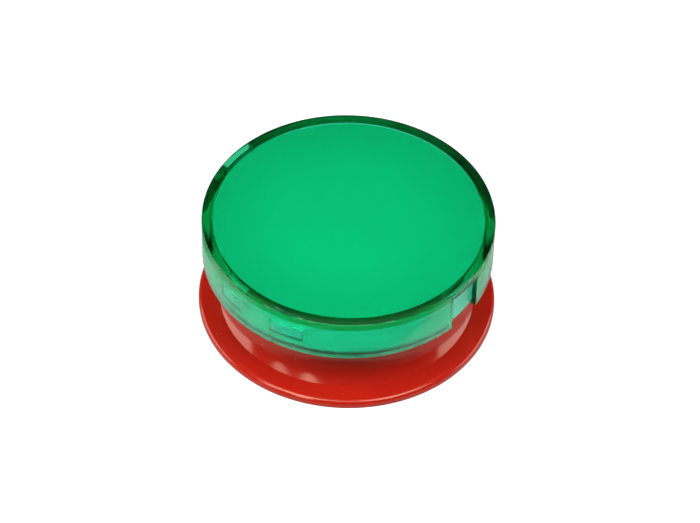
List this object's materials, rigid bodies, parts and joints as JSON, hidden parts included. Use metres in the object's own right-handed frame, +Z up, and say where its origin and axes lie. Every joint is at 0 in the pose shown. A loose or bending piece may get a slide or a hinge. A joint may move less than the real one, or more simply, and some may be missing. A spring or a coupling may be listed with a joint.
{
  "type": "illuminated push button",
  "caption": "Round low-profile illuminated push button: clear green clip-on lens over a white diffuser, on a flared red housing with a thin flange.",
  "frame": {"origin": "centre of the flat underside of the flange", "axes": "+Z up through the lens along the pressing axis, -Y the front"},
  "size_m": [0.031, 0.031, 0.012],
  "materials": {
    "lens_green": "clear green moulded plastic, polished",
    "legend_green": "translucent green moulded insert",
    "diffuser_white": "translucent white moulded plastic",
    "latch_white": "white moulded plastic",
    "carrier_white": "white moulded plastic",
    "housing_red": "glossy red moulded plastic",
    "base_black": "fine-textured black plastic",
    "gasket_rubber": "soft black sheet rubber",
    "seal_rubber": "soft black rubber",
    "insert_brass": "turned brass",
    "board_green": "solder-masked laminate",
    "lamp_white": "white ceramic-filled plastic",
    "lamp_phosphor": "yellow resin",
    "resistor_black": "glazed ceramic",
    "pin_brass": "plated brass",
    "switch_black": "black moulded plastic",
    "cover_steel": "stamped steel",
    "contact_gold": "gold-plated contact",
    "dome_rubber": "translucent silicone rubber",
    "spring_steel": "bright spring wire",
    "plunger_ivory": "ivory moulded plastic",
    "pill_carbon": "carbon-filled rubber"
  },
  "bodies": {
    "housing": {"flanged_housing": "housing_red", "base_plate": "base_black", "panel_gasket": "gasket_rubber", "dust_seal": "seal_rubber", "threaded_inserts": "insert_brass", "circuit_board": "board_green", "led_chips": "lamp_white", "led_windows": "lamp_phosphor", "resistors": "resistor_black", "terminal_pins": "pin_brass", "switch_body": "switch_black", "switch_cover": "cover_steel", "fixed_contacts": "contact_gold", "rubber_dome": "dome_rubber", "return_spring": "spring_steel"},
    "button": {"button_carrier": "carrier_white", "diffuser_cup": "diffuser_white", "legend_disc": "legend_green", "lens_latches": "latch_white"},
    "lens": {"lens_cap": "lens_green"},
    "plunger": {"switch_plunger": "plunger_ivory", "contact_pill": "pill_carbon"}
  },
  "joints": [
    {"name": "button_press", "type": "slide", "parent": "housing", "child": "button", "axis": [0, 0, -1], "range_m": [0, 0.0015], "stiffness_N_per_m": 500, "springref_m": -0.003, "deforming": ["return_spring", "rubber_dome"]},
    {"name": "switch_press", "type": "slide", "parent": "housing", "child": "plunger", "axis": [0, 0, -1], "range_m": [0, 0.0015]},
    {"name": "lens_release", "type": "slide", "parent": "button", "child": "lens", "axis": [0, 0, 1], "range_m": [0, 0.008], "deforming": ["lens_latches"]}
  ],
  "couplings": [
    {"joint": "switch_press", "follows": "button_press", "ratio": 1}
  ]
}
